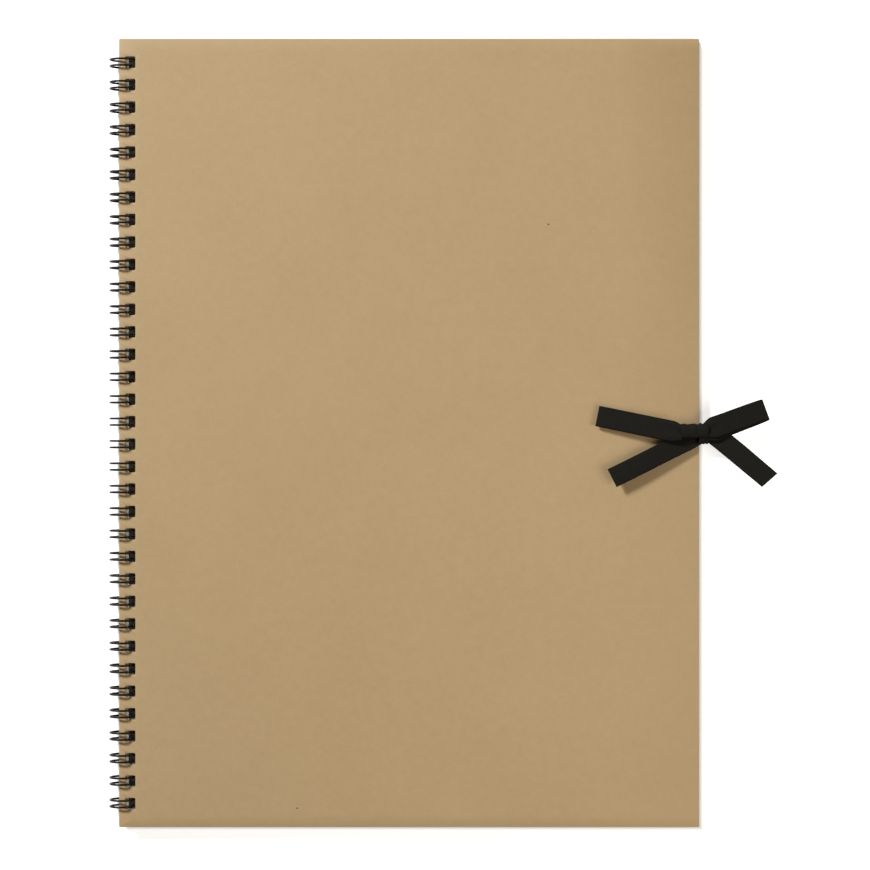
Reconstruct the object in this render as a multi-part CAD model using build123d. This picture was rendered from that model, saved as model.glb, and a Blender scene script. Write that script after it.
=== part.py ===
from build123d import *
import os
from math import degrees, hypot

# A twin-loop bound sketchbook, lying closed on its back cover and tied with a ribbon bow.
# +Y runs along the spine towards the head, +X from the spine to the fore edge, +Z out of the
# front cover. The origin is the centre of the back cover's underside. Millimetres throughout.

# Covers and leaves
BOOK_HEIGHT = 297.0  # head to tail, along the spine
COVER_WIDTH = 218.5  # spine edge to fore edge
CORNER_RADIUS = 0.8
BOARD_THICKNESS = 1.15
LINING_THICKNESS = 0.12
LEAF_COUNT = 18
LEAF_THICKNESS = 0.145
LEAF_SPINE_INSET = 1.0  # the leaves' spine edge lies this far inside the covers'
LEAF_FORE_INSET = 1.0
LEAF_END_INSET = 0.5  # at the head and at the tail

# Punched holes, three to the inch
HOLE_PITCH = 25.4 / 3
HOLE_MARGIN = 2.3  # sheet left between a hole and its spine edge
HOLE_CLEARANCE = 0.5  # past the loops, on the side away from the spine edge
HOLE_SIDE_CLEARANCE = 0.525  # at each side of a loop's two wires
HOLE_CORNER = 0.5
END_MARGIN = 8.0  # least distance from the first hole's centre to the head

# Twin-loop wire
WIRE_DIAMETER = 0.8
ARM_SPACING = 2.45  # between the two wires of one loop
FOOT_RADIUS = 0.8  # bend from a loop's wire into the bridge to the next loop
TIP_GAP = 0.35  # between a loop's closed tip and the bridges
FOOT_ANGLE = -50  # where the loops' feet stand on the ring, in degrees from +X
RING_CLEARANCE = 0.45  # from the turning margins to the inside of the loops
RING_INSET = 0.8  # the loops' centre lies this far inside the covers' spine edge
HINGE_OFFSET = 0.15  # the line that covers and leaves turn about lies outside that edge

# Ribbon and bow
RIBBON_WIDTH = 7.5
RIBBON_THICKNESS = 0.3
ANCHOR_LENGTH = 30.0  # ribbon glued in between a board and its lining
ANCHOR_SLACK = 0.2  # at each side of the anchor, in the board's recess
FRONT_STAND_OFF = 0.1  # from the fore edge to the front ribbon's upright
BACK_STAND_OFF = 0.75  # the back ribbon's upright passes outside the front one's
KNOT_INSET = 2.0  # the knot's centre lies this far inside the fore edge
KNOT_LENGTH = 11.0
KNOT_WIDTH = 6.6
KNOT_HEIGHT = 5.4
KNOT_ROUNDING = 1.4
KNOT_LIFT = 0.4  # from the front cover up to the knot
PASSING_GAP = 0.3  # between the back ribbon's end and the knot

# Where each part of the bow starts, from the knot's centre, its bearing and its length
BOW_LOOPS = {
    "bow_loop_left": ((-4.0, 0.2), 168.3, 33.0),
    "bow_loop_right": ((4.0, 0.2), 20.3, 24.6),
}
BOW_TAILS = {
    "bow_tail_left": ((-2.0, -2.1), 207.0, 32.2),
    "bow_tail_right": ((5.0, 1.6), -40.0, 30.1),
}
LOOP_ROOT_LOW, LOOP_ROOT_HIGH = 4.0, 5.4  # heights of a loop above the front cover
LOOP_TIP_LOW, LOOP_TIP_HIGH = 0.9, 2.4
TAIL_ROOT, TAIL_MIDDLE, TAIL_TIP = 1.7, 3.2, 3.6  # heights of a tail above the front cover

# Worked out from the sizes above
LEAF_BLOCK = LEAF_COUNT * LEAF_THICKNESS
BOOK_THICKNESS = 2 * (BOARD_THICKNESS + LINING_THICKNESS) + LEAF_BLOCK
MIDDLE_Z = BOOK_THICKNESS / 2
SPINE_X = -COVER_WIDTH / 2
FORE_X = COVER_WIDTH / 2
LOOP_COUNT = int((BOOK_HEIGHT - 2 * END_MARGIN) / HOLE_PITCH) + 1
LOOP_YS = [(i - (LOOP_COUNT - 1) / 2) * HOLE_PITCH for i in range(LOOP_COUNT)]
RING_INNER_RADIUS = hypot(HOLE_MARGIN + HINGE_OFFSET, BOOK_THICKNESS / 2) + RING_CLEARANCE
RING_RADIUS = RING_INNER_RADIUS + WIRE_DIAMETER / 2  # to the wire's centre line
RING_X = SPINE_X + RING_INSET
HOLE_WIDTH = RING_INSET + RING_RADIUS + WIRE_DIAMETER / 2 + HOLE_CLEARANCE - HOLE_MARGIN
HOLE_HEIGHT = ARM_SPACING + WIRE_DIAMETER + 2 * HOLE_SIDE_CLEARANCE
KNOT_X = FORE_X - KNOT_INSET

PARTS = {}


def punched_sheet(width, height, spine_x, bottom_z, thickness):
    """A sheet from spine_x towards the fore edge, with its row of punched holes."""
    outline = Pos(spine_x + width / 2, 0) * RectangleRounded(width, height, CORNER_RADIUS)
    hole = RectangleRounded(HOLE_WIDTH, HOLE_HEIGHT, HOLE_CORNER)
    hole_x = spine_x + HOLE_MARGIN + HOLE_WIDTH / 2
    outline -= [Pos(hole_x, y) * hole for y in LOOP_YS]
    return Pos(0, 0, bottom_z) * extrude(outline, thickness)


def anchor_recess(face_z, into):
    """The shallow bed for a ribbon's anchor, cut from face_z upwards (into 1) or downwards (-1)."""
    length = ANCHOR_LENGTH + ANCHOR_SLACK
    bed = Box(length, RIBBON_WIDTH + 2 * ANCHOR_SLACK, RIBBON_THICKNESS)
    return Pos(FORE_X - length / 2, 0, face_z + into * RIBBON_THICKNESS / 2) * bed


def upright_ribbon(anchor_z, stand_off, top_z):
    """An anchor lying at anchor_z that comes out at the fore edge and turns up to top_z."""
    inner_x = FORE_X + stand_off
    outer_x = inner_x + RIBBON_THICKNESS
    flat = Pos((FORE_X - ANCHOR_LENGTH + outer_x) / 2, anchor_z + RIBBON_THICKNESS / 2) * Rectangle(
        outer_x - FORE_X + ANCHOR_LENGTH, RIBBON_THICKNESS
    )
    upright = Pos((inner_x + outer_x) / 2, (anchor_z + top_z) / 2) * Rectangle(
        RIBBON_THICKNESS, top_z - anchor_z
    )
    profile = flat + upright
    bend = profile.vertices().filter_by(lambda v: v.X > outer_x - 0.01 and v.Y < anchor_z + 0.01)
    profile = fillet(bend, RIBBON_THICKNESS * 0.8)
    return extrude(Plane.XZ * profile, RIBBON_WIDTH / 2, both=True)


def bow_place(start, bearing):
    """The frame of a part of the bow: X runs out along it and Z up from the front cover."""
    return Pos(KNOT_X + start[0], start[1], BOOK_THICKNESS) * Rot(0, 0, bearing)


def bow_loop(start, bearing, length):
    """A flattened loop of ribbon, open inside, that runs out from the knot and back."""
    tip_radius = (LOOP_TIP_HIGH - LOOP_TIP_LOW) / 2
    tip_x = length - tip_radius
    tip_middle = (LOOP_TIP_HIGH + LOOP_TIP_LOW) / 2
    outline = [
        Line((0, LOOP_ROOT_LOW), (tip_x, LOOP_TIP_LOW)),
        ThreePointArc((tip_x, LOOP_TIP_LOW), (length, tip_middle), (tip_x, LOOP_TIP_HIGH)),
        Line((tip_x, LOOP_TIP_HIGH), (0, LOOP_ROOT_HIGH)),
        Line((0, LOOP_ROOT_HIGH), (0, LOOP_ROOT_LOW)),
    ]
    outer = make_face(outline)
    band = outer - offset(outer, -RIBBON_THICKNESS)
    return bow_place(start, bearing) * extrude(Plane.XZ * band, RIBBON_WIDTH / 2, both=True)


def bow_tail(start, bearing, length):
    """A single strip of ribbon that leaves the knot low and lifts towards its cut end."""
    top = RIBBON_THICKNESS
    under = ThreePointArc((0, TAIL_ROOT), (length / 2, TAIL_MIDDLE), (length, TAIL_TIP))
    over = ThreePointArc(
        (0, TAIL_ROOT + top), (length / 2, TAIL_MIDDLE + top), (length, TAIL_TIP + top)
    )
    ends = [
        Line((0, TAIL_ROOT), (0, TAIL_ROOT + top)),
        Line((length, TAIL_TIP), (length, TAIL_TIP + top)),
    ]
    strip = make_face([under, over] + ends)
    return bow_place(start, bearing) * extrude(Plane.XZ * strip, RIBBON_WIDTH / 2, both=True)


def wire_section(origin, radial, along):
    """The wire's round section at a point of its centre line."""
    return Plane(origin=origin, x_dir=radial, z_dir=along) * Circle(WIRE_DIAMETER / 2)


def twin_loop(to_head, to_tail):
    """One loop round the ring's axis, with half a bridge on each side that has a neighbour."""
    loop_axis = Axis((0, 0, 0), (0, -1, 0))
    side = Vector(0, ARM_SPACING / 2, 0)
    # The feet stand on the ring at FOOT_ANGLE, and the arms run from there round to the tip.
    foot_out = Vector(1, 0, 0).rotate(loop_axis, FOOT_ANGLE)
    foot_along = Vector(0, 0, 1).rotate(loop_axis, FOOT_ANGLE)
    foot_point = foot_out * RING_RADIUS
    seam = FOOT_RADIUS + WIRE_DIAMETER + TIP_GAP + ARM_SPACING / 2
    arms_turn = 360 - degrees(seam / RING_RADIUS)
    pieces = []
    for y_side in (side, side * -1):
        section = wire_section(foot_point + y_side, foot_out, foot_along)
        pieces.append(revolve(section, loop_axis, arms_turn))
    # The tip is bent in the plane that touches the ring where the arms end.
    tip_out = foot_out.rotate(loop_axis, arms_turn)
    tip_along = foot_along.rotate(loop_axis, arms_turn)
    tip_point = tip_out * RING_RADIUS
    tip_section = wire_section(tip_point - side, tip_out, tip_along)
    pieces.append(revolve(tip_section, Axis(tip_point, tip_out * -1), 180))
    # Each foot turns away from the arms, into the bridge to the next loop.
    foot_centre = foot_point + side + Vector(0, FOOT_RADIUS, 0)
    foot_section = wire_section(foot_point + side, foot_out, foot_along * -1)
    foot = revolve(foot_section, Axis(foot_centre, foot_out), 90)
    bridge_start = foot_centre - foot_along * FOOT_RADIUS
    bridge_section = wire_section(bridge_start, foot_out, Vector(0, 1, 0))
    bridge = extrude(bridge_section, HOLE_PITCH / 2 - bridge_start.Y)
    pieces += [foot, mirror(foot, Plane.XZ)]
    if to_head:
        pieces.append(bridge)
    if to_tail:
        pieces.append(mirror(bridge, Plane.XZ))
    return pieces[0].fuse(*pieces[1:])


# Covers: a board and its lining each
board = (COVER_WIDTH, BOOK_HEIGHT, SPINE_X)
back_lining_z = BOARD_THICKNESS
front_lining_z = back_lining_z + LINING_THICKNESS + LEAF_BLOCK
front_board_z = front_lining_z + LINING_THICKNESS
PARTS["back_cover_board"] = punched_sheet(*board, 0, BOARD_THICKNESS) - anchor_recess(
    back_lining_z, -1
)
PARTS["back_cover_lining"] = punched_sheet(*board, back_lining_z, LINING_THICKNESS)
PARTS["front_cover_lining"] = punched_sheet(*board, front_lining_z, LINING_THICKNESS)
PARTS["front_cover_board"] = punched_sheet(
    *board, front_board_z, BOARD_THICKNESS
) - anchor_recess(front_board_z, 1)

# Leaves, counted from the back cover
leaf_width = COVER_WIDTH - LEAF_SPINE_INSET - LEAF_FORE_INSET
leaf_height = BOOK_HEIGHT - 2 * LEAF_END_INSET
first_leaf_z = back_lining_z + LINING_THICKNESS
first_leaf = punched_sheet(
    leaf_width, leaf_height, SPINE_X + LEAF_SPINE_INSET, first_leaf_z, LEAF_THICKNESS
)
for number in range(1, LEAF_COUNT + 1):
    PARTS[f"leaf_{number:02d}"] = Pos(0, 0, (number - 1) * LEAF_THICKNESS) * first_leaf

# Binding wire: one wire, bent into all the loops
loops = [
    Pos(RING_X, y, MIDDLE_Z) * twin_loop(y != LOOP_YS[-1], y != LOOP_YS[0]) for y in LOOP_YS
]
PARTS["binding_wire"] = loops[0].fuse(*loops[1:])

# Ribbons, from their anchors to the knot
knot_bottom = BOOK_THICKNESS + KNOT_LIFT
PARTS["front_ribbon"] = upright_ribbon(front_board_z, FRONT_STAND_OFF, knot_bottom)
PARTS["back_ribbon"] = upright_ribbon(
    back_lining_z - RIBBON_THICKNESS, BACK_STAND_OFF, knot_bottom - PASSING_GAP
)

# Bow
knot = Pos(KNOT_X, 0, knot_bottom + KNOT_HEIGHT / 2) * Box(KNOT_LENGTH, KNOT_WIDTH, KNOT_HEIGHT)
upper_edges = knot.edges().filter_by(lambda e: e.center().Z > knot_bottom + 0.01)
knot = PARTS["bow_knot"] = fillet(upper_edges, KNOT_ROUNDING)
for name, shape in BOW_LOOPS.items():
    PARTS[name] = bow_loop(*shape) - knot
for name, shape in BOW_TAILS.items():
    PARTS[name] = bow_tail(*shape) - knot

os.makedirs("parts", exist_ok=True)
for name, part in PARTS.items():
    part.label = name
    export_step(part, f"parts/{name}.step")
print("loops", LOOP_COUNT, "thickness", BOOK_THICKNESS, "ring radius", round(RING_RADIUS, 3))
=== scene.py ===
import math

import bmesh
import bpy
from bpy.props import FloatProperty, FloatVectorProperty, IntProperty, PointerProperty
from mathutils import Matrix, Vector


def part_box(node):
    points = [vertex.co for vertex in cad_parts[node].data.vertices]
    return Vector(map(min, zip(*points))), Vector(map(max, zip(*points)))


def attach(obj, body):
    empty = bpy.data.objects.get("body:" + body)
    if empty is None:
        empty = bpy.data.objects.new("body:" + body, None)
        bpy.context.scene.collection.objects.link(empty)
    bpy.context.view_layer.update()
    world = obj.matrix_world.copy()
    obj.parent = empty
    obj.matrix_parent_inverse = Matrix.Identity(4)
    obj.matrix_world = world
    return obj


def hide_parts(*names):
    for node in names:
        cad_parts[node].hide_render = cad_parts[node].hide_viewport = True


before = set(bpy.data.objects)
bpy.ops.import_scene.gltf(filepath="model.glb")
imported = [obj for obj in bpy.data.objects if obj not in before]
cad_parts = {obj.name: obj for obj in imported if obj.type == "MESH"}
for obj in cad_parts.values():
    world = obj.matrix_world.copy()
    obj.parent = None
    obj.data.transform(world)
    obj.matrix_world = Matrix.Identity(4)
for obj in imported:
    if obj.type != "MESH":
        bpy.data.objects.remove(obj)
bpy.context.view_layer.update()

bl_info = {
    "name": "Wire-bound sketchbook",
    "version": (1, 0, 0),
    "blender": (4, 5, 0),
    "location": "3D View > Sidebar > Sketchbook",
    "description": "Kraft board covers, drawing leaves, twin-loop wire and a ribbon bow",
    "category": "Add Mesh",
}

MM = 0.001
NEAR = 1e-6  # metres within which two places are taken as one
HOLE_PITCH = 25.4 * MM / 3
FRONT = "front_cover"
BACK = "back_cover"
RIBBON_COLUMNS = 14  # faces across a ribbon
FLOOR_REACH = 4  # metres from the floor's middle to its sides


# ---------------------------------------------------------------- places taken from the frame


def top_of_book():
    """The height of the front cover's outside."""
    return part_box("front_cover_board")[1].z


def middle_of_book():
    """The height that the wire's loops are centred on."""
    return (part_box("back_cover_board")[0].z + top_of_book()) / 2


def ring_centre():
    """(x, z, outer radius) of the wire's loops, from their left and top sides."""
    low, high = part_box("binding_wire")
    outer = high.z - middle_of_book()
    return low.x + outer, middle_of_book(), outer


def loop_places():
    """The middle of each loop along the spine, from the tail to the head."""
    low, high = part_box("binding_wire")
    count = int((high.y - low.y) / HOLE_PITCH) + 1
    middle = (low.y + high.y) / 2
    return [middle + (i - (count - 1) / 2) * HOLE_PITCH for i in range(count)]


# ---------------------------------------------------------------- settings


class BoardSettings(bpy.types.PropertyGroup):
    """Kraft board of the covers."""

    colour: FloatVectorProperty(
        name="Colour", description="Kraft board's middle tone", subtype="COLOR",
        size=3, min=0, max=1, default=(0.352, 0.251, 0.132),
    )
    deep_colour: FloatVectorProperty(
        name="Deep colour", description="Darker pulp in the mottling", subtype="COLOR",
        size=3, min=0, max=1, default=(0.322, 0.226, 0.116),
    )
    pale_colour: FloatVectorProperty(
        name="Pale colour", description="Paler pulp in the mottling", subtype="COLOR",
        size=3, min=0, max=1, default=(0.380, 0.277, 0.149),
    )
    # Darker tone of the cut edges: partly the board's own, partly painted shade on the softened rim
    edge_and_rim_shade_colour: FloatVectorProperty(
        name="Edge colour", description="Cut edge of the board", subtype="COLOR",
        size=3, min=0, max=1, default=(0.200, 0.128, 0.066),
    )
    hole_margin: FloatProperty(
        name="Hole margin", description="Board between a hole and the spine edge",
        unit="LENGTH", default=2.3 * MM,
    )
    hole_past_wire: FloatProperty(
        name="Hole past the wire", description="Room in a hole beyond the loops",
        unit="LENGTH", default=0.5 * MM,
    )
    hole_height: FloatProperty(
        name="Hole height", description="Hole's size along the spine",
        unit="LENGTH", default=4.3 * MM,
    )
    hole_corner: FloatProperty(
        name="Hole corner", description="Corner radius of the punched holes",
        unit="LENGTH", default=0.5 * MM,
    )
    bed_slack: FloatProperty(
        name="Bed slack", description="Room round a ribbon's anchor in its bed",
        unit="LENGTH", default=0.2 * MM,
    )
    bed_depth: FloatProperty(
        name="Bed depth", description="Depth of the bed for a ribbon's anchor",
        unit="LENGTH", default=0.3 * MM,
    )
    corner: FloatProperty(
        name="Corner", description="Corner radius of the covers",
        unit="LENGTH", default=0.5 * MM,
    )
    rim: FloatProperty(
        name="Rim", description="Softened rim of the cut board",
        unit="LENGTH", default=0.18 * MM,
    )


class PaperSettings(bpy.types.PropertyGroup):
    """Drawing leaves and lining papers."""

    leaf_colour: FloatVectorProperty(
        name="Leaf colour", description="Drawing paper", subtype="COLOR",
        size=3, min=0, max=1, default=(0.75, 0.74, 0.70),
    )
    lining_colour: FloatVectorProperty(
        name="Lining colour", description="Paper inside the covers", subtype="COLOR",
        size=3, min=0, max=1, default=(0.47, 0.345, 0.205),
    )


class WireSettings(bpy.types.PropertyGroup):
    """Twin-loop binding wire."""

    colour: FloatVectorProperty(
        name="Colour", description="Black coating", subtype="COLOR",
        size=3, min=0, max=1, default=(0.006, 0.0055, 0.005),
    )
    diameter: FloatProperty(
        name="Diameter", description="Coated wire's diameter", unit="LENGTH", default=0.8 * MM
    )
    arm_spacing: FloatProperty(
        name="Arm spacing", description="Between the two wires of a loop",
        unit="LENGTH", default=2.45 * MM,
    )
    foot_radius: FloatProperty(
        name="Foot radius", description="Bend from a loop into the bridge to the next",
        unit="LENGTH", default=0.8 * MM,
    )
    tip_gap: FloatProperty(
        name="Tip gap", description="Between a closed tip and the bridges",
        unit="LENGTH", default=0.35 * MM,
    )
    foot_angle: FloatProperty(
        name="Foot angle", description="Where the feet stand on the ring",
        subtype="ANGLE", default=math.radians(-50),
    )
    sides: IntProperty(name="Sides", description="Faces round the wire", default=12)


class RibbonSettings(bpy.types.PropertyGroup):
    """Woven ribbon and its bow."""

    colour: FloatVectorProperty(
        name="Colour", description="Black yarn", subtype="COLOR",
        size=3, min=0, max=1, default=(0.0063, 0.0058, 0.0050),
    )
    width: FloatProperty(
        name="Width", description="Ribbon's width", unit="LENGTH", default=7.5 * MM
    )
    thickness: FloatProperty(
        name="Thickness", description="Ribbon's thickness", unit="LENGTH", default=0.28 * MM
    )
    rib_pitch: FloatProperty(
        name="Rib pitch", description="From one weft rib to the next",
        unit="LENGTH", default=0.42 * MM,
    )
    yarn_pitch: FloatProperty(
        name="Yarn pitch", description="From one warp yarn to the next",
        unit="LENGTH", default=0.26 * MM,
    )


class StageSettings(bpy.types.PropertyGroup):
    """Camera, floor and lights."""

    camera_height: FloatProperty(
        name="Camera height", description="From the front cover up to the camera",
        unit="LENGTH", default=1.1,
    )
    view_width: FloatProperty(
        name="View width", description="What the camera takes in at the front cover",
        unit="LENGTH", default=327.8 * MM,
    )
    aim_right: FloatProperty(
        name="Aim right", description="From the cover's middle to the camera's axis",
        unit="LENGTH", default=9.76 * MM,
    )
    aim_down: FloatProperty(
        name="Aim down", description="From the cover's middle to the camera's axis",
        unit="LENGTH", default=0.77 * MM,
    )
    floor_colour: FloatVectorProperty(
        name="Floor colour", description="Pale floor", subtype="COLOR",
        size=3, min=0, max=1, default=(0.60, 0.60, 0.60),
    )
    floor_glow: FloatProperty(
        name="Floor glow", description="Light given off by the floor round the book", default=0.74
    )
    glow_start: FloatProperty(
        name="Glow start", description="From the book's outline to the floor's full glow",
        unit="LENGTH", default=2.0 * MM,
    )
    key_power: FloatProperty(
        name="Key power", description="Key light's power", unit="POWER", default=34.3
    )
    fill_power: FloatProperty(
        name="Fill power", description="Fill light's power", unit="POWER", default=2.1
    )
    sky: FloatProperty(name="Sky", description="Strength of the even light", default=0.14)
    sky_colour: FloatVectorProperty(
        name="Sky colour", description="Even light and fill light, slightly warm", subtype="COLOR",
        size=3, min=0, max=1, default=(1.0, 0.89, 0.75),
    )


# ---------------------------------------------------------------- shader maths


class Socket:
    """A node's output, for use in sums and as another node's input."""

    def __init__(self, tree, output):
        self.tree = tree
        self.output = output

    def math(self, operation, other=0.0, flipped=False):
        first, second = (other, self) if flipped else (self, other)
        return node(self.tree, "Math", {"operation": operation}, {0: first, 1: second})

    def __add__(self, other):
        return self.math("ADD", other)

    def __radd__(self, other):
        return self.math("ADD", other, flipped=True)

    def __sub__(self, other):
        return self.math("SUBTRACT", other)

    def __rsub__(self, other):
        return self.math("SUBTRACT", other, flipped=True)

    def __mul__(self, other):
        return self.math("MULTIPLY", other)

    def __rmul__(self, other):
        return self.math("MULTIPLY", other, flipped=True)

    def __truediv__(self, other):
        return self.math("DIVIDE", other)

    def __abs__(self):
        return self.math("ABSOLUTE")

    def __gt__(self, other):
        return self.math("GREATER_THAN", other)

    def __lt__(self, other):
        return self.math("LESS_THAN", other)


def node(tree, kind, settings, sockets, output=0):
    """A new node with its settings made first and its sockets given values or links."""
    made = tree.nodes.new("ShaderNode" + kind)
    for name, value in settings.items():
        setattr(made, name, value)
    for key, value in sockets.items():
        if isinstance(value, Socket):
            tree.links.new(value.output, made.inputs[key])
        else:
            made.inputs[key].default_value = value
    return Socket(tree, made.outputs[output])


class Finish:
    """One material: its tree, its shader and the nodes that finishes share."""

    def __init__(self, name, roughness, **constants):
        self.material = bpy.data.materials.new(name)
        self.material.use_nodes = True
        self.tree = self.material.node_tree
        self.shader = self.tree.nodes["Principled BSDF"]
        self.shader.inputs["Roughness"].default_value = roughness
        for key, value in constants.items():
            self.shader.inputs[key.replace("_", " ")].default_value = value

    def node(self, kind, settings, sockets, output=0):
        return node(self.tree, kind, settings, sockets, output)

    def place(self, stretch=(1, 1, 1)):
        """Object coordinates, stretched along each axis."""
        place = self.node("TexCoord", {}, {}, "Object")
        return self.node("Mapping", {}, {"Vector": place, "Scale": stretch})

    def noise(self, place, scale, detail, roughness):
        sockets = {"Vector": place, "Scale": scale, "Detail": detail, "Roughness": roughness}
        return self.node("TexNoise", {}, sockets, "Fac")

    def cells(self, place, scale, output):
        return self.node("TexVoronoi", {}, {"Vector": place, "Scale": scale}, output)

    def mix(self, factor, first, second):
        first, second = [c if isinstance(c, Socket) else (*c, 1.0) for c in (first, second)]
        return self.node(
            "Mix", {"data_type": "RGBA", "clamp_factor": True}, {0: factor, 6: first, 7: second}, 2
        )

    def bump(self, height, distance, strength):
        sockets = {"Height": height, "Distance": distance, "Strength": strength}
        return self.node("Bump", {}, sockets)

    def feed(self, **links):
        for key, value in links.items():
            self.tree.links.new(value.output, self.shader.inputs[key.replace("_", " ")])
        return self.material


def kraft_face_finish(settings):
    """Uncoated kraft board: cloudy pulp, short fibres, a few specks and a faint tooth."""
    finish = Finish("kraft_board_face", roughness=0.62, Specular_IOR_Level=0.42)
    place = finish.place()
    clouds = finish.noise(place, 26, 4, 0.55)
    pulp = finish.noise(place, 330, 3, 0.6)
    grain = finish.noise(place, 2300, 2, 0.6)
    lengthwise, crosswise, through = 340, 2600, 1000
    along = finish.noise(finish.place((lengthwise, crosswise, through)), 1, 2, 0.55)
    across = finish.noise(finish.place((crosswise, lengthwise, through)), 1, 2, 0.55)
    fibres = (along + across) * 0.5
    tone = 0.5 + (clouds - 0.5) * 0.5 + (pulp - 0.5) * 0.6 + (grain - 0.5) * 0.5
    tone = tone + (fibres - 0.5) * 0.9
    dark = finish.mix(tone * 2, settings.deep_colour, settings.colour)
    colour = finish.mix(tone * 2 - 1, dark, settings.pale_colour)
    speck_cells, speck_size, share_bare = 95, 0.045, 0.976
    speck_colour = (0.05, 0.03, 0.018)
    spots = finish.cells(place, speck_cells, "Distance")
    chance = finish.node("SeparateColor", {}, {0: finish.cells(place, speck_cells, "Color")})
    specks = (spots < speck_size) * (chance > share_bare)
    colour = finish.mix(specks * 0.8, colour, speck_colour)
    height = grain * 0.5 + fibres * 0.9 + pulp * 0.4
    roughness = 0.60 + (pulp - 0.5) * 0.16 + (fibres - 0.5) * 0.12
    return finish.feed(
        Base_Color=colour, Roughness=roughness, Normal=finish.bump(height, 0.06 * MM, 0.55)
    )


def board_edge_finish(settings):
    """The cut edge: pressed plies, rougher and darker than the face. Its darker tone is partly the cut
    board's own and partly painted shade on the softened rim.
    """
    finish = Finish("kraft_board_edge", roughness=0.85, Specular_IOR_Level=0.25)
    plies = finish.noise(finish.place((160, 160, 7800)), 1, 3, 0.6)
    pulp = finish.noise(finish.place(), 1500, 3, 0.6)
    tone = (plies - 0.5) * 1.5 + (pulp - 0.5) * 0.8 + 0.45
    # Mixes the darker edge tone (partly painted shade on the rim) with the face's colour
    colour = finish.mix(tone, settings.edge_and_rim_shade_colour, settings.colour)
    return finish.feed(Base_Color=colour, Normal=finish.bump(plies + pulp, 0.08 * MM, 0.8))


def paper_finish(name, colour, tooth):
    """Drawing or lining paper with a fine tooth and a little cloudiness."""
    finish = Finish(name, roughness=0.88, Specular_IOR_Level=0.3)
    place = finish.place()
    clouds = finish.noise(place, 120, 3, 0.6)
    grain = finish.noise(place, 1900, 2, 0.6)
    leaves_per_metre = 6900
    page_edges = finish.noise(finish.place((3, 3, leaves_per_metre)), 1, 2, 0.6)
    shade = tuple(c * 0.84 for c in colour)
    tone = 0.3 + (clouds - 0.5) * 0.4 + (grain - 0.5) * 0.3 + (page_edges - 0.5) * 2.2
    mixed = finish.mix(tone, colour, shade)
    return finish.feed(Base_Color=mixed, Normal=finish.bump(grain + clouds * 0.4, tooth, 0.6))


def wire_finish(settings):
    """Black nylon coating over steel wire, with a soft sheen and slight ripple."""
    finish = Finish("black_coated_wire", roughness=0.38, Specular_IOR_Level=0.16)
    place = finish.place()
    ripple = finish.noise(place, 900, 2, 0.5)
    wear = finish.noise(place, 260, 3, 0.6)
    rubbed_colour = (0.011, 0.010, 0.009)
    colour = finish.mix((wear - 0.35) * 1.6, settings.colour, rubbed_colour)
    roughness = 0.34 + (wear - 0.5) * 0.25
    return finish.feed(
        Base_Color=colour, Roughness=roughness, Normal=finish.bump(ripple, 0.03 * MM, 0.5)
    )


def ribbon_finish(settings):
    """Ribbed black ribbon: weft ribs across, warp yarns along, and tighter selvedges. Its colour carries
    painted highlight on the rib crests and painted shade in the hollows.
    """
    finish = Finish("black_woven_ribbon", roughness=0.82, Specular_IOR_Level=0.10)
    place = finish.node("TexCoord", {}, {}, "UV")
    across = finish.node("SeparateXYZ", {}, {0: place}, "X")
    along = finish.node("SeparateXYZ", {}, {0: place}, "Y")
    turn = 2 * math.pi
    ribs = (along * (turn / settings.rib_pitch)).math("SINE")
    yarns = (across * (turn / settings.yarn_pitch)).math("SINE")
    weave = 0.5 + ribs * 0.34 + ribs * yarns * 0.16
    selvedge_start = 0.88
    selvedge = abs(across / (settings.width / 2)) > selvedge_start
    height = weave + selvedge * 0.35
    slub = finish.noise(finish.place(), 700, 3, 0.6)
    # The weave term paints the rib crests lighter and the hollows darker, as painted highlight and
    # shade. The slub term is the yarn's own uneven tone.
    tone = weave * 0.5 + (slub - 0.5) * 0.6 + 0.1
    # The lighter colour serves both the painted crest highlight and the paler yarn of the slubs
    light = tuple(c * 2.0 for c in settings.colour)
    colour = finish.mix(tone, settings.colour, light)
    return finish.feed(Base_Color=colour, Normal=finish.bump(height, 0.09 * MM, 0.9))


# ---------------------------------------------------------------- mesh helpers


def new_piece(name, bm, materials, body, replaced):
    """Turns a bmesh into a piece that rides on a body and stands for CAD nodes."""
    mesh = bpy.data.meshes.new(name)
    bm.to_mesh(mesh)
    bm.free()
    piece = bpy.data.objects.new(name, mesh)
    bpy.context.scene.collection.objects.link(piece)
    for material in materials:
        mesh.materials.append(material)
    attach(piece, body)
    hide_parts(*replaced)
    return piece


def verts_of(geometry):
    return [g for g in geometry if isinstance(g, bmesh.types.BMVert)]


def edges_of(geometry):
    return [g for g in geometry if isinstance(g, bmesh.types.BMEdge)]


def faces_of(geometry):
    return [g for g in geometry if isinstance(g, bmesh.types.BMFace)]


def bevel(bm, edges, offset, segments):
    bmesh.ops.bevel(
        bm, geom=edges, offset=offset, segments=segments, profile=0.5,
        affect="EDGES", material=-1, clamp_overlap=True,
    )


def upright(edge):
    """Whether an edge runs straight up."""
    a, b = (v.co for v in edge.verts)
    return (a.xy - b.xy).length < NEAR < abs(a.z - b.z)


def lies_level(face):
    return abs(face.normal.z) > 0.9


def stands_upright(face):
    return abs(face.normal.z) < 0.1


def split(bm, keep, place, direction):
    """Cuts the faces that keep() picks along a plane and leaves both halves."""
    faces = [f for f in bm.faces if keep(f.calc_center_median())]
    edges = {e for f in faces for e in f.edges}
    verts = {v for f in faces for v in f.verts}
    bmesh.ops.bisect_plane(
        bm, geom=[*faces, *edges, *verts], dist=NEAR, plane_co=place, plane_no=direction
    )


def thicken(bm, faces, rise):
    """Extrudes faces by a rise and gives their moved copies."""
    made = bmesh.ops.extrude_face_region(bm, geom=faces)["geom"]
    bmesh.ops.translate(bm, vec=(0, 0, rise), verts=verts_of(made))
    return faces_of(made)


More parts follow.
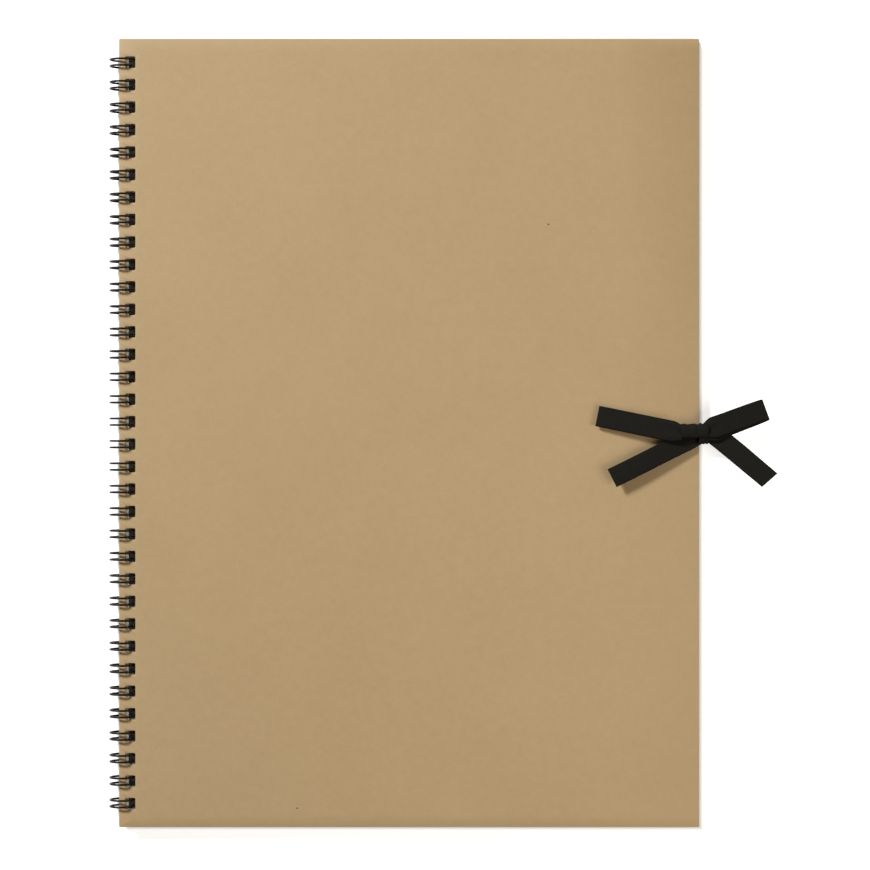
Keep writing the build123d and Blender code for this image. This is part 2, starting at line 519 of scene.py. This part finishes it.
def punched_board(outside, inside, bed, settings):
    """A cover's board with its row of holes and the bed for its ribbon, as a bmesh.

    outside and inside are opposite corners on the board's outer and inner faces, and bed is
    the ribbon's end, half width and depth.
    """
    low = Vector(min(pair) for pair in zip(outside, inside))
    high = Vector(max(pair) for pair in zip(outside, inside))
    ring_x, _, ring_outer = ring_centre()
    hole_low = low.x + settings.hole_margin
    hole_high = ring_x + ring_outer + settings.hole_past_wire
    places = loop_places()
    strip = hole_high + settings.hole_margin
    x_lines = [low.x, strip, high.x]
    y_lines = [low.y] + [places[0] + (i - 0.5) * HOLE_PITCH for i in range(len(places) + 1)]
    y_lines.append(high.y)
    bm = bmesh.new()
    columns, rows = len(x_lines) - 1, len(y_lines) - 1
    bmesh.ops.create_grid(bm, x_segments=columns, y_segments=rows, size=1)
    for v in bm.verts:
        column = round((v.co.x + 1) / 2 * columns)
        row = round((v.co.y + 1) / 2 * rows)
        v.co = (x_lines[column], y_lines[row], outside.z)
    cells = [
        f for f in bm.faces
        if f.calc_center_median().x < strip and abs(f.calc_center_median().y) < y_lines[-2]
    ]
    bmesh.ops.inset_individual(bm, faces=cells, thickness=settings.hole_margin / 2)
    for cell in cells:
        middle = cell.calc_center_median()
        for v in cell.verts:
            v.co.x = hole_low if v.co.x < middle.x else hole_high
            side = -1 if v.co.y < middle.y else 1
            v.co.y = middle.y + side * settings.hole_height / 2
    bmesh.ops.delete(bm, geom=cells, context="FACES_ONLY")
    bed_x, bed_half, bed_depth = bed
    split(bm, lambda c: c.x > strip, (bed_x, 0, 0), (1, 0, 0))
    for side in (-1, 1):
        split(bm, lambda c: c.x > bed_x, (0, side * bed_half, 0), (0, 1, 0))
    rise = inside.z - outside.z
    bed_rise = math.copysign(bed_depth, rise)
    made = thicken(bm, list(bm.faces), rise - bed_rise)
    middles = [(f, f.calc_center_median()) for f in made]
    proud = [f for f, c in middles if c.x < bed_x or abs(c.y) > bed_half]
    thicken(bm, proud, bed_rise)
    bmesh.ops.delete(bm, geom=proud, context="FACES")
    bmesh.ops.recalc_face_normals(bm, faces=list(bm.faces))
    posts = [e for e in bm.edges if upright(e)]
    corners = [(low.x, low.y), (low.x, high.y), (high.x, low.y), (high.x, high.y)]
    outer = [
        e for e in posts
        if any((e.verts[0].co.xy - Vector(c)).length < NEAR for c in corners)
    ]
    inner = [e for e in posts if hole_low - NEAR < e.verts[0].co.x < hole_high + NEAR]
    bevel(bm, outer, settings.corner, segments=5)
    bevel(bm, inner, settings.hole_corner, segments=3)
    rims = [
        e for e in bm.edges
        if len(e.link_faces) == 2
        and any(stands_upright(f) for f in e.link_faces)
        and any(lies_level(f) for f in e.link_faces)
        and not all(on_bed(f, bed) for f in e.link_faces)
    ]
    bevel(bm, rims, settings.rim, segments=2)
    # Level faces take the face finish. The cut edges and the softened rim take the darker edge finish,
    # which is partly painted shade on the rim.
    for face in bm.faces:
        face.material_index = 0 if lies_level(face) else 1
    return bm


def on_bed(face, bed):
    """Whether a face is in the ribbon's bed, or over or under it."""
    middle = face.calc_center_median()
    return middle.x > bed[0] and abs(middle.y) < bed[1]


def shade_smooth_where_round(piece):
    """Smooth shading, with edges sharper than 35 degrees kept sharp."""
    mesh = piece.data
    mesh.shade_smooth()
    mesh.set_sharp_from_angle(angle=math.radians(35))


def bend_path(points, rounds=3):
    """Rounds off a path of guide points by cutting its corners, and keeps its ends."""
    path = [Vector(p) for p in points]
    for _ in range(rounds):
        cut = [path[0]]
        for a, b in zip(path, path[1:]):
            cut += [a.lerp(b, 0.25), a.lerp(b, 0.75)]
        path = cut + [path[-1]]
    return path


def ribbon_strip(path, across, width_at, lift_at, settings):
    """A strip of ribbon along a path, as a bmesh with its UV map in metres.

    across(t) is the direction of its width, width_at(t) its width, and lift_at(t, u) how far
    the point u of its width, from -1 to 1, stands off the path along the ribbon's normal.
    """
    lengths = [0.0]
    for a, b in zip(path, path[1:]):
        lengths.append(lengths[-1] + (b - a).length)
    rows = len(path) - 1
    bm = bmesh.new()
    uv = bm.loops.layers.uv.new("ribbon")
    bmesh.ops.create_grid(bm, x_segments=RIBBON_COLUMNS, y_segments=rows, size=1)
    for face in bm.faces:
        face.smooth = True
        for loop in face.loops:
            row = round((loop.vert.co.y + 1) / 2 * rows)
            loop[uv].uv = (loop.vert.co.x * settings.width / 2, lengths[row])
    for v in bm.verts:
        u = v.co.x
        row = round((v.co.y + 1) / 2 * rows)
        t = lengths[row] / lengths[-1]
        ahead = path[min(row + 1, rows)] - path[max(row - 1, 0)]
        side = across(t)
        normal = ahead.cross(side).normalized()
        v.co = path[row] + side * (u * width_at(t) / 2) + normal * lift_at(t, u)
    return bm


def ribbon_piece(name, shape, body, replaced, settings, material):
    """A strip of ribbon with its thickness, made from (path, across, width, lift)."""
    bm = ribbon_strip(*shape, settings)
    piece = new_piece(name, bm, [material], body, replaced)
    solid = piece.modifiers.new("thickness", "SOLIDIFY")
    solid.thickness = settings.thickness
    solid.offset = 0
    solid.use_even_offset = True
    return piece


def ease(t):
    """A smooth rise from 0 to 1."""
    t = min(1.0, max(0.0, t))
    return t * t * (3 - 2 * t)


# ---------------------------------------------------------------- pieces


class SKETCHBOOK_OT_covers(bpy.types.Operator):
    """Makes the two kraft board covers with their punched holes"""

    bl_idname = "sketchbook.covers"
    bl_label = "Covers"

    def execute(self, context):
        settings = context.scene.sketchbook_board
        materials = [kraft_face_finish(settings), board_edge_finish(settings)]
        for body in (FRONT, BACK):
            low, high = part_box(f"{body}_board")
            inside, outside = (low, high) if body == FRONT else (high, low)
            ribbon_low, ribbon_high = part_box(f"{body.split('_')[0]}_ribbon")
            half = (ribbon_high.y - ribbon_low.y) / 2 + settings.bed_slack
            bed = (ribbon_low.x - settings.bed_slack, half, settings.bed_depth)
            bm = punched_board(outside, inside, bed, settings)
            name = f"{body}_panel"
            piece = new_piece(name, bm, materials, body, [f"{body}_board"])
            shade_smooth_where_round(piece)
        return {"FINISHED"}


class SKETCHBOOK_OT_papers(bpy.types.Operator):
    """Gives the drawing leaves and the lining papers their paper"""

    bl_idname = "sketchbook.papers"
    bl_label = "Leaves and linings"

    def execute(self, context):
        settings = context.scene.sketchbook_paper
        leaf = paper_finish("drawing_paper", tuple(settings.leaf_colour), 0.05 * MM)
        lining = paper_finish("lining_paper", tuple(settings.lining_colour), 0.03 * MM)
        for name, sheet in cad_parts.items():
            if name.startswith("leaf_"):
                finish = leaf
            elif name.endswith("_lining"):
                finish = lining
            else:
                continue
            sheet.data.materials.clear()
            sheet.data.materials.append(finish)
        return {"FINISHED"}


class SKETCHBOOK_OT_wire(bpy.types.Operator):
    """Bends the twin-loop wire: foot, arm, tip, arm, foot and bridge for each hole"""

    bl_idname = "sketchbook.wire"
    bl_label = "Binding wire"

    def execute(self, context):
        settings = context.scene.sketchbook_wire
        material = wire_finish(settings)
        bm = bmesh.new()
        self.bend(bm, settings)
        piece = new_piece(
            "twin_loop_wire", bm, [material], "wire", ["binding_wire"]
        )
        piece.data.shade_smooth()
        return {"FINISHED"}

    def bend(self, bm, settings):
        """Bends one loop, repeats it along the spine and bridges each pair of neighbours."""
        starts, ends = self.loop(bm, settings)
        loop = list(bm.verts) + list(bm.edges) + list(bm.faces)
        first, *others = loop_places()
        bmesh.ops.translate(bm, verts=verts_of(loop), vec=(0, first, 0))
        rings = [(starts, ends)]
        for y in others:
            copy = bmesh.ops.duplicate(bm, geom=loop)
            bmesh.ops.translate(bm, verts=verts_of(copy["geom"]), vec=(0, y - first, 0))
            twin = copy["edge_map"]
            rings.append(([twin[e] for e in starts], [twin[e] for e in ends]))
        for (_, end), (start, _) in zip(rings, rings[1:]):
            bmesh.ops.bridge_loops(bm, edges=end + start)
        for ring in (rings[0][0], rings[-1][1]):
            bmesh.ops.holes_fill(bm, edges=ring, sides=settings.sides)
        bmesh.ops.recalc_face_normals(bm, faces=list(bm.faces))

    def loop(self, bm, settings):
        """One loop at the spine's middle: foot, arm, tip, arm and foot. Gives its end edges."""
        ring_x, ring_z, outer = ring_centre()
        radius = outer - settings.diameter / 2
        arm = settings.arm_spacing / 2
        foot = settings.foot_radius
        turn_to_foot = Matrix.Rotation(-settings.foot_angle, 3, "Y")
        foot_out = turn_to_foot @ Vector((1, 0, 0))
        foot_along = turn_to_foot @ Vector((0, 0, 1))
        seam = foot + settings.diameter + settings.tip_gap + arm
        arms_turn = 2 * math.pi - seam / radius
        tip_out = Matrix.Rotation(-arms_turn, 3, "Y") @ foot_out
        spine = Vector((0, 1, 0))
        away = spine * (arm + foot)
        centre = Vector((ring_x, 0, ring_z))
        foot_point = centre + foot_out * radius
        tip_point = centre + tip_out * radius
        section = bmesh.ops.create_circle(
            bm, radius=settings.diameter / 2, segments=settings.sides
        )["verts"]
        bmesh.ops.rotate(bm, verts=section, matrix=Matrix.Rotation(math.pi / 2, 3, "X"))
        bmesh.ops.translate(bm, verts=section, vec=foot_point - away - foot_along * foot)
        start = end = list(bm.edges)
        foot_steps, arm_steps, tip_steps = 5, 44, 10
        for pivot, axis, angle, steps in (
            (foot_point - away, foot_out, math.pi / 2, foot_steps),
            (centre, -spine, arms_turn, arm_steps),
            (tip_point, -tip_out, math.pi, tip_steps),
            (centre, spine, arms_turn, arm_steps),
            (foot_point + away, foot_out, math.pi / 2, foot_steps),
        ):
            verts = list({v for e in end for v in e.verts})
            made = bmesh.ops.spin(
                bm, geom=verts + end, cent=pivot, axis=axis, angle=angle, steps=steps,
                use_merge=False, use_duplicate=False,
            )
            end = edges_of(made["geom_last"])
        return start, end


class SKETCHBOOK_OT_standing_ribbons(bpy.types.Operator):
    """Lays each ribbon's glued anchor and turns it up at the fore edge to the knot"""

    bl_idname = "sketchbook.standing_ribbons"
    bl_label = "Standing ribbons"

    def execute(self, context):
        settings = context.scene.sketchbook_ribbon
        material = ribbon_finish(settings)
        for node_name, body in (("front_ribbon", FRONT), ("back_ribbon", BACK)):
            low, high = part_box(node_name)
            half = settings.thickness / 2
            bend_x, bed_z = high.x - half, low.z + half
            bend_room, end_room = 0.5 * MM, 0.3 * MM
            path = bend_path(
                [
                    (low.x, 0, bed_z),
                    (low.x + 0.6 * (bend_x - low.x), 0, bed_z),
                    (bend_x - bend_room, 0, bed_z),
                    (bend_x, 0, bed_z),
                    (bend_x, 0, bed_z + bend_room),
                    (bend_x, 0, high.z - end_room),
                    (bend_x, 0, high.z),
                ],
                2,
            )
            shape = (path, lambda t: Vector((0, 1, 0)), lambda t: settings.width, lambda t, u: 0.0)
            ribbon_piece(f"{node_name}_strip", shape, body, [node_name], settings, material)
        return {"FINISHED"}


def bearing(degrees):
    """The level direction at an angle from the way to the fore edge."""
    return Vector((math.cos(math.radians(degrees)), math.sin(math.radians(degrees)), 0))


def knot_place():
    """The knot's middle at the front cover's height."""
    low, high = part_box("bow_knot")
    return Vector(((low.x + high.x) / 2, (low.y + high.y) / 2, top_of_book()))


class SKETCHBOOK_OT_bow_tails(bpy.types.Operator):
    """Makes the two single tails, which leave the knot low and lift to a cut end"""

    bl_idname = "sketchbook.bow_tails"
    bl_label = "Bow tails"

    def execute(self, context):
        settings = context.scene.sketchbook_ribbon
        material = ribbon_finish(settings)
        # Guide points from the knot's middle, in millimetres: right, up the cover, height
        left = [
            (1.9, -0.8, 1.7), (-2.9, -3.1, 2.0), (-9.4, -6.2, 2.8), (-16.9, -10.0, 3.4),
            (-23.9, -13.5, 3.7), (-31.0, -17.0, 3.8),
        ]
        right = [
            (2.4, 2.2, 1.7), (6.4, 0.4, 2.0), (11.0, -3.3, 2.8), (16.4, -7.8, 3.4),
            (22.1, -12.6, 3.7), (28.2, -17.75, 3.8),
        ]
        self.tail("left", settings, material, left, heading=207, cut=0, breadth=1.0, roll=0.05)
        self.tail("right", settings, material, right, heading=-40, cut=-9, breadth=1.04, roll=-0.06)
        return {"FINISHED"}

    def tail(self, side, settings, material, guides, heading, cut, breadth, roll):
        """One tail along its guide points. Angles are in degrees and breadth in ribbon widths."""
        knot = knot_place()
        path = bend_path([knot + Vector(g) * MM for g in guides])
        rise = Vector((0, 0, roll))

        def across(t):
            level = bearing(heading + 90 + cut * ease((t - 0.5) / 0.5))
            return (level + rise * ease((t - 0.35) / 0.5)).normalized()

        def width(t):
            return settings.width * breadth * (0.9 + 0.1 * ease(t / 0.14))

        def lift(t, u):
            gather = 1 - ease(t / 0.3)
            return MM * (0.3 * gather * math.cos(u * 5.2) - 0.2 * u * u * ease(t / 0.6))

        name = f"bow_tail_{side}"
        ribbon_piece(f"{name}_strip", (path, across, width, lift), FRONT, [name], settings, material)


class SKETCHBOOK_OT_bow_loops(bpy.types.Operator):
    """Makes the two flattened loops, which run out from the knot and back over themselves"""

    bl_idname = "sketchbook.bow_loops"
    bl_label = "Bow loops"

    def execute(self, context):
        settings = context.scene.sketchbook_ribbon
        material = ribbon_finish(settings)
        self.loop(
            "left", settings, material,
            heading=168.3, start=(-4.1, -0.3), length=32.9, breadth=1.03, fan=-0.10,
        )
        self.loop(
            "right", settings, material,
            heading=20.3, start=(4.0, 0.3), length=24.5, breadth=1.07, fan=0.6,
        )
        return {"FINISHED"}

    def loop(self, side, settings, material, heading, start, length, breadth, fan):
        """One loop. Seen from the knot, its upper layer starts fan millimetres left, its lower right."""
        out = bearing(heading)
        root = knot_place() + Vector((*start, 0)) * MM
        # Guide points along the loop's side: outwards and height, in millimetres
        guides = [
            (0.4, 4.2), (5, 3.75), (0.45 * length, 2.8), (0.8 * length, 1.65),
            (length - 0.9, 1.15), (length - 0.1, 1.2), (length, 1.65), (length - 0.1, 2.1),
            (length - 0.9, 2.25), (0.8 * length, 2.8), (0.45 * length, 3.9), (5, 4.7), (0.4, 4.75),
        ]
        path = bend_path([root + (out * s + Vector((0, 0, z))) * MM for s, z in guides])
        width_way = bearing(heading + 90)
        for i, point in enumerate(path):
            apart = -math.cos(math.pi * i / (len(path) - 1)) * fan
            path[i] = point + width_way * apart * MM
        roll = Vector((0, 0, 0.05))

        def across(t):
            return (width_way + roll * math.sin(t * math.pi)).normalized()

        def width(t):
            away = ease(min(t, 1 - t) / 0.065)
            return settings.width * breadth * (0.72 + 0.28 * away)

        def lift(t, u):
            gather = 1 - ease(min(t, 1 - t) / 0.2)
            return MM * 0.22 * gather * math.cos(u * 5.6 + 0.4)

        name = f"bow_loop_{side}"
        ribbon_piece(f"{name}_strip", (path, across, width, lift), FRONT, [name], settings, material)


class SKETCHBOOK_OT_bow_knot(bpy.types.Operator):
    """Wraps the knot: a band over the loops and a smaller fold at its lower right"""

    bl_idname = "sketchbook.bow_knot"
    bl_label = "Bow knot"

    def execute(self, context):
        settings = context.scene.sketchbook_ribbon
        material = ribbon_finish(settings)
        # Guide points of each wrap in millimetres: up the cover and height
        band = [
            (1.2, 0.6), (2.9, 0.7), (3.35, 2.2), (3.2, 4.3), (2.3, 5.4), (0.6, 5.65),
            (-1.0, 5.3), (-1.8, 4.5), (-1.3, 3.3),
        ]
        side = [
            (1.0, 3.6), (-0.6, 4.2), (-2.4, 4.15), (-3.6, 3.3), (-4.15, 2.1), (-3.6, 0.9),
            (-1.6, 0.7),
        ]
        self.wrap("knot_band", band, settings, material, ["bow_knot"], middle=0.0, breadth=10.9)
        self.wrap("knot_side_fold", side, settings, material, [], middle=3.6, breadth=3.8)
        return {"FINISHED"}

    def wrap(self, name, guides, settings, material, replaced, middle, breadth):
        """One wrap. Its middle, from the knot's own, and its breadth are millimetres along x."""
        knot = knot_place()
        path = bend_path([knot + Vector((middle, y, z)) * MM for y, z in guides])

        def width(t):
            return breadth * MM * (0.86 + 0.14 * math.sin(t * math.pi))

        def lift(t, u):
            swell = math.sin(t * math.pi)
            folds = 0.16 * math.cos(u * 9.0 + 0.8) + 0.07 * math.cos(u * 17.0)
            return MM * swell * (folds - 0.15 * u * u)

        shape = (path, lambda t: Vector((1, 0, 0)), width, lift)
        ribbon_piece(name, shape, FRONT, replaced, settings, material)


class SKETCHBOOK_OT_stage(bpy.types.Operator):
    """Makes the pale floor, the soft lights and the camera"""

    bl_idname = "sketchbook.stage"
    bl_label = "Stage"

    def execute(self, context):
        settings = context.scene.sketchbook_stage
        self.floor(settings)
        self.light("key", place=(-0.94, 0.806, 0.99), size=0.375, power=settings.key_power)
        self.light(
            "fill", place=(0.46, -0.16, 0.45), size=0.40, power=settings.fill_power,
            colour=settings.sky_colour,
        )
        world = bpy.data.worlds.new("even_light")
        world.use_nodes = True
        world.node_tree.nodes["Background"].inputs[0].default_value = (*settings.sky_colour, 1)
        world.node_tree.nodes["Background"].inputs[1].default_value = settings.sky
        context.scene.world = world
        self.camera(context.scene, settings)
        context.scene.view_settings.view_transform = "Standard"
        return {"FINISHED"}

    def floor(self, settings):
        """A wide floor that touches the wire's underside and the back cover's fore edge."""
        ring_x, ring_z, outer = ring_centre()
        back_low, back_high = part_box("back_cover_board")
        reach = Vector((back_high.x - ring_x, 0, back_low.z - ring_z))
        slope = math.atan2(reach.z, reach.x) + math.asin(outer / reach.length)
        bm = bmesh.new()
        bmesh.ops.create_grid(bm, x_segments=1, y_segments=1, size=FLOOR_REACH)
        turn = Matrix.Rotation(-slope, 3, "Y")
        bmesh.ops.rotate(bm, verts=list(bm.verts), matrix=turn)
        bmesh.ops.translate(bm, verts=list(bm.verts), vec=(back_high.x, 0, back_low.z))
        mesh = bpy.data.meshes.new("floor")
        bm.to_mesh(mesh)
        bm.free()
        floor = bpy.data.objects.new("floor", mesh)
        bpy.context.scene.collection.objects.link(floor)
        mesh.materials.append(self.floor_finish(settings, back_high))

    def floor_finish(self, settings, corner):
        """A pale floor that glows round the book and stays dark under it."""
        finish = Finish("pale_floor", roughness=0.9, Base_Color=(*settings.floor_colour, 1))
        place = finish.node("TexCoord", {}, {}, "Object")
        beyond = [
            abs(finish.node("SeparateXYZ", {}, {0: place}, axis)) - half
            for axis, half in (("X", corner.x), ("Y", corner.y))
        ]
        distance = beyond[0].math("MAXIMUM", beyond[1])
        glow = (distance / settings.glow_start).math("MINIMUM", 1.0).math("MAXIMUM", 0.0)
        finish.shader.inputs["Emission Strength"].default_value = settings.floor_glow
        return finish.feed(Emission_Color=finish.mix(glow, (0, 0, 0), (1, 1, 1)))

    def light(self, name, place, size, power, colour=(1, 1, 1)):
        """A round lamp that faces the frame's origin."""
        lamp = bpy.data.lights.new(name, "AREA")
        lamp.color = colour
        lamp.shape = "DISK"
        lamp.size = size
        lamp.energy = power
        holder = bpy.data.objects.new(name, lamp)
        holder.location = place
        holder.rotation_euler = (-Vector(place)).to_track_quat("-Z", "Y").to_euler()
        bpy.context.scene.collection.objects.link(holder)

    def camera(self, scene, settings):
        """Straight down over the front cover."""
        data = bpy.data.cameras.new("camera")
        data.sensor_width = 36
        data.lens = data.sensor_width * settings.camera_height / settings.view_width
        camera = bpy.data.objects.new("camera", data)
        low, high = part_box("front_cover_board")
        middle = (low + high) / 2
        camera.location = (
            middle.x + settings.aim_right,
            middle.y - settings.aim_down,
            top_of_book() + settings.camera_height,
        )
        scene.collection.objects.link(camera)
        scene.camera = camera


class SKETCHBOOK_PT_panel(bpy.types.Panel):
    """Lists the sizes, the colours and the steps that make the sketchbook"""

    bl_idname = "SKETCHBOOK_PT_panel"
    bl_label = "Sketchbook"
    bl_space_type = "VIEW_3D"
    bl_region_type = "UI"
    bl_category = "Sketchbook"

    def draw(self, context):
        for name, settings_class in SETTINGS.items():
            box = self.layout.box()
            box.label(text=settings_class.__name__.replace("Settings", ""))
            for key in settings_class.__annotations__:
                box.prop(getattr(context.scene, name), key)
        for step in STEPS:
            self.layout.operator(step.bl_idname)


SETTINGS = {
    "sketchbook_board": BoardSettings,
    "sketchbook_paper": PaperSettings,
    "sketchbook_wire": WireSettings,
    "sketchbook_ribbon": RibbonSettings,
    "sketchbook_stage": StageSettings,
}
STEPS = [
    SKETCHBOOK_OT_stage,
    SKETCHBOOK_OT_covers,
    SKETCHBOOK_OT_papers,
    SKETCHBOOK_OT_wire,
    SKETCHBOOK_OT_standing_ribbons,
    SKETCHBOOK_OT_bow_tails,
    SKETCHBOOK_OT_bow_loops,
    SKETCHBOOK_OT_bow_knot,
]


def register():
    for settings_class in SETTINGS.values():
        bpy.utils.register_class(settings_class)
    for name, settings_class in SETTINGS.items():
        setattr(bpy.types.Scene, name, PointerProperty(type=settings_class))
    for step in [*STEPS, SKETCHBOOK_PT_panel]:
        bpy.utils.register_class(step)


def unregister():
    for step in [SKETCHBOOK_PT_panel, *reversed(STEPS)]:
        bpy.utils.unregister_class(step)
    for name, settings_class in SETTINGS.items():
        delattr(bpy.types.Scene, name)
        bpy.utils.unregister_class(settings_class)


def main():
    register()
    for step in STEPS:
        group, operation = step.bl_idname.split(".")
        getattr(getattr(bpy.ops, group), operation)()


if __name__ == "__main__":
    main()
